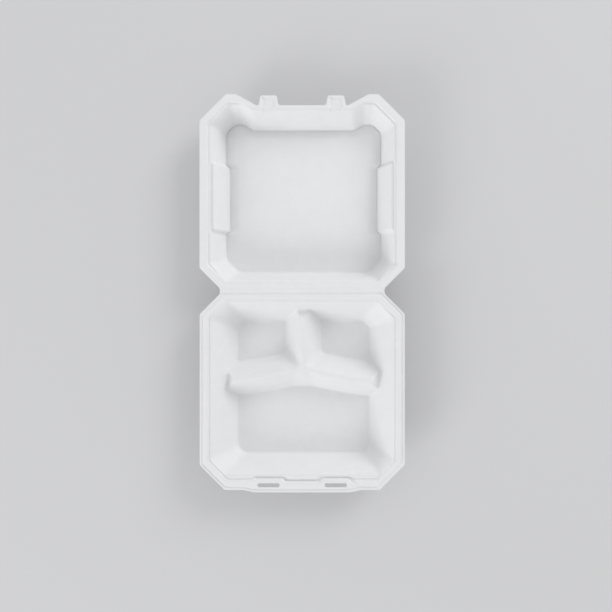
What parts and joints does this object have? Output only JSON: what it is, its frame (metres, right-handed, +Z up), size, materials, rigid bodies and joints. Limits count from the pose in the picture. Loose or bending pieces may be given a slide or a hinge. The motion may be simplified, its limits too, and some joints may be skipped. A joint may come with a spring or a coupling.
{
  "type": "foam clamshell container",
  "caption": "White foam clamshell food container, opened flat: a divided base tray and a hinged lid whose two front tabs lock into slots in the base.",
  "frame": {"origin": "middle of the open container, on the surface that it stands on", "axes": "+X along the hinge to the right, +Y from the base to the lid, +Z up"},
  "size_m": [0.2414, 0.4684, 0.038],
  "materials": {
    "foam": "satin white foam sheet with fine closed cells"
  },
  "bodies": {
    "base": {"base": "foam"},
    "lid": {"lid": "foam"}
  },
  "joints": [
    {"name": "lid_hinge", "type": "hinge", "parent": "base", "child": "lid", "pos_m": [0, 0.00285, 0.0381], "axis": [1, 0, 0], "range_deg": [0, 180]}
  ]
}
